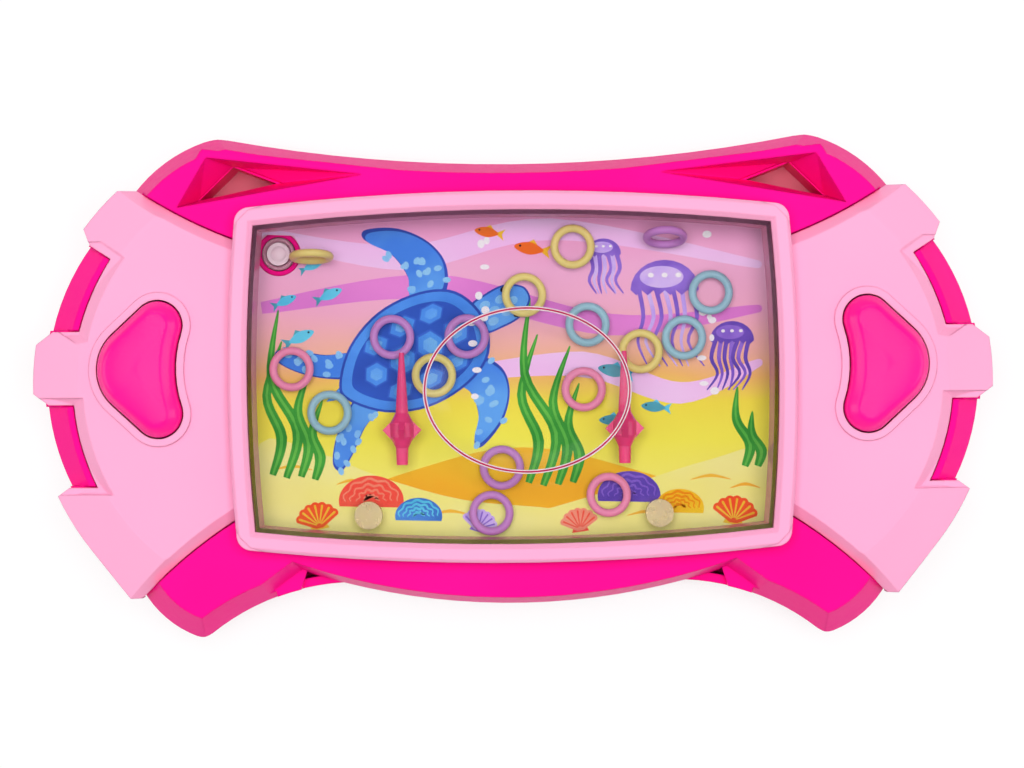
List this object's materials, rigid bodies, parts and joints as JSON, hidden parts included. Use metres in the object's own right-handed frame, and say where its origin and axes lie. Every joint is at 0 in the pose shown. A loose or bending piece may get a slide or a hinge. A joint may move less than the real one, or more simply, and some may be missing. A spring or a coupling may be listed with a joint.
{
  "type": "handheld water game",
  "caption": "Handheld water game: two side buttons pump water through a clear tank to lift small rings onto two spikes.",
  "frame": {"origin": "on the flat back face, below the middle of the window", "axes": "+Z out of the back face towards the player, +Y towards the top edge of the game, +X to the right as the player sees it"},
  "size_m": [0.1926, 0.1008, 0.032],
  "materials": {
    "magenta": "semi-gloss moulded plastic",
    "pale_pink": "gloss moulded plastic",
    "clear": "clear moulded plastic",
    "card": "printed card",
    "spike_pink": "translucent plastic",
    "ring_yellow": "translucent plastic",
    "ring_blue": "translucent plastic",
    "ring_purple": "translucent plastic",
    "ring_pink": "translucent plastic",
    "soft_white": "soft moulded rubber",
    "hose": "clear soft tube",
    "steel": "plated steel"
  },
  "bodies": {
    "case": {"rear_shell": "magenta", "front_shell": "magenta", "front_cover": "pale_pink", "tank_front": "clear", "tank_back": "clear", "picture_card": "card", "left_spike": "spike_pink", "right_spike": "spike_pink", "left_bellows": "soft_white", "right_bellows": "soft_white", "left_pump_base": "pale_pink", "right_pump_base": "pale_pink", "left_hose": "hose", "right_hose": "hose", "left_jet": "clear", "right_jet": "clear", "case_screws": "steel", "cover_screws": "steel", "pump_screws": "steel"},
    "left_button": {"left_button": "magenta"},
    "right_button": {"right_button": "magenta"},
    "filler_plug": {"filler_plug": "soft_white"},
    "ring_01": {"ring_01": "ring_yellow"},
    "ring_02": {"ring_02": "ring_yellow"},
    "ring_03": {"ring_03": "ring_purple"},
    "ring_04": {"ring_04": "ring_blue"},
    "ring_05": {"ring_05": "ring_blue"},
    "ring_06": {"ring_06": "ring_yellow"},
    "ring_07": {"ring_07": "ring_yellow"},
    "ring_08": {"ring_08": "ring_blue"},
    "ring_09": {"ring_09": "ring_purple"},
    "ring_10": {"ring_10": "ring_purple"},
    "ring_11": {"ring_11": "ring_yellow"},
    "ring_12": {"ring_12": "ring_pink"},
    "ring_13": {"ring_13": "ring_blue"},
    "ring_14": {"ring_14": "ring_pink"},
    "ring_15": {"ring_15": "ring_purple"},
    "ring_16": {"ring_16": "ring_purple"},
    "ring_17": {"ring_17": "ring_pink"}
  },
  "joints": [
    {"name": "left_button_press", "type": "slide", "parent": "case", "child": "left_button", "axis": [0, 0, -1], "range_m": [0, 0.004], "stiffness_N_per_m": 300, "deforming": ["left_bellows"]},
    {"name": "right_button_press", "type": "slide", "parent": "case", "child": "right_button", "axis": [0, 0, -1], "range_m": [0, 0.004], "stiffness_N_per_m": 300, "deforming": ["right_bellows"]},
    {"name": "filler_plug_pull", "type": "slide", "parent": "case", "child": "filler_plug", "axis": [0, 0, -1], "range_m": [0, 0.01]},
    {"name": "ring_01_drift", "type": "slide", "parent": "case", "child": "ring_01", "axis": [0, 1, 0], "range_m": [-0.008, 0.004]},
    {"name": "ring_02_drift", "type": "slide", "parent": "case", "child": "ring_02", "axis": [0, 1, 0], "range_m": [-0.0034, 0.001]},
    {"name": "ring_03_drift", "type": "slide", "parent": "case", "child": "ring_03", "axis": [0, 1, 0], "range_m": [-0.0065, 0.0008]},
    {"name": "ring_04_drift", "type": "slide", "parent": "case", "child": "ring_04", "axis": [0, 1, 0], "range_m": [-0.0007, 0.006]},
    {"name": "ring_05_drift", "type": "slide", "parent": "case", "child": "ring_05", "axis": [0, 1, 0], "range_m": [0, 0.0007]},
    {"name": "ring_06_drift", "type": "slide", "parent": "case", "child": "ring_06", "axis": [0, 1, 0], "range_m": [-0.008, 0]},
    {"name": "ring_07_drift", "type": "slide", "parent": "case", "child": "ring_07", "axis": [0, 1, 0], "range_m": [-0.006, 0.006]},
    {"name": "ring_08_drift", "type": "slide", "parent": "case", "child": "ring_08", "axis": [0, 1, 0], "range_m": [-0.0018, 0.0034]},
    {"name": "ring_09_drift", "type": "slide", "parent": "case", "child": "ring_09", "axis": [0, 1, 0], "range_m": [-0.0018, 0.008]},
    {"name": "ring_10_drift", "type": "slide", "parent": "case", "child": "ring_10", "axis": [0, 1, 0], "range_m": [-0.0006, 0.008]},
    {"name": "ring_11_drift", "type": "slide", "parent": "case", "child": "ring_11", "axis": [0, 1, 0], "range_m": [-0.008, 0.0006]},
    {"name": "ring_12_drift", "type": "slide", "parent": "case", "child": "ring_12", "axis": [0, 1, 0], "range_m": [-0.0017, 0.008]},
    {"name": "ring_13_drift", "type": "slide", "parent": "case", "child": "ring_13", "axis": [0, 1, 0], "range_m": [-0.008, 0.0017]},
    {"name": "ring_14_drift", "type": "slide", "parent": "case", "child": "ring_14", "axis": [0, 1, 0], "range_m": [-0.0066, 0.0018]},
    {"name": "ring_15_drift", "type": "slide", "parent": "case", "child": "ring_15", "axis": [0, 1, 0], "range_m": [0, 0.008]},
    {"name": "ring_16_drift", "type": "slide", "parent": "case", "child": "ring_16", "axis": [1, 0, 0], "range_m": [-0.005, 0.006]},
    {"name": "ring_17_drift", "type": "slide", "parent": "case", "child": "ring_17", "axis": [0, 1, 0], "range_m": [-0.003, 0.0066]}
  ]
}
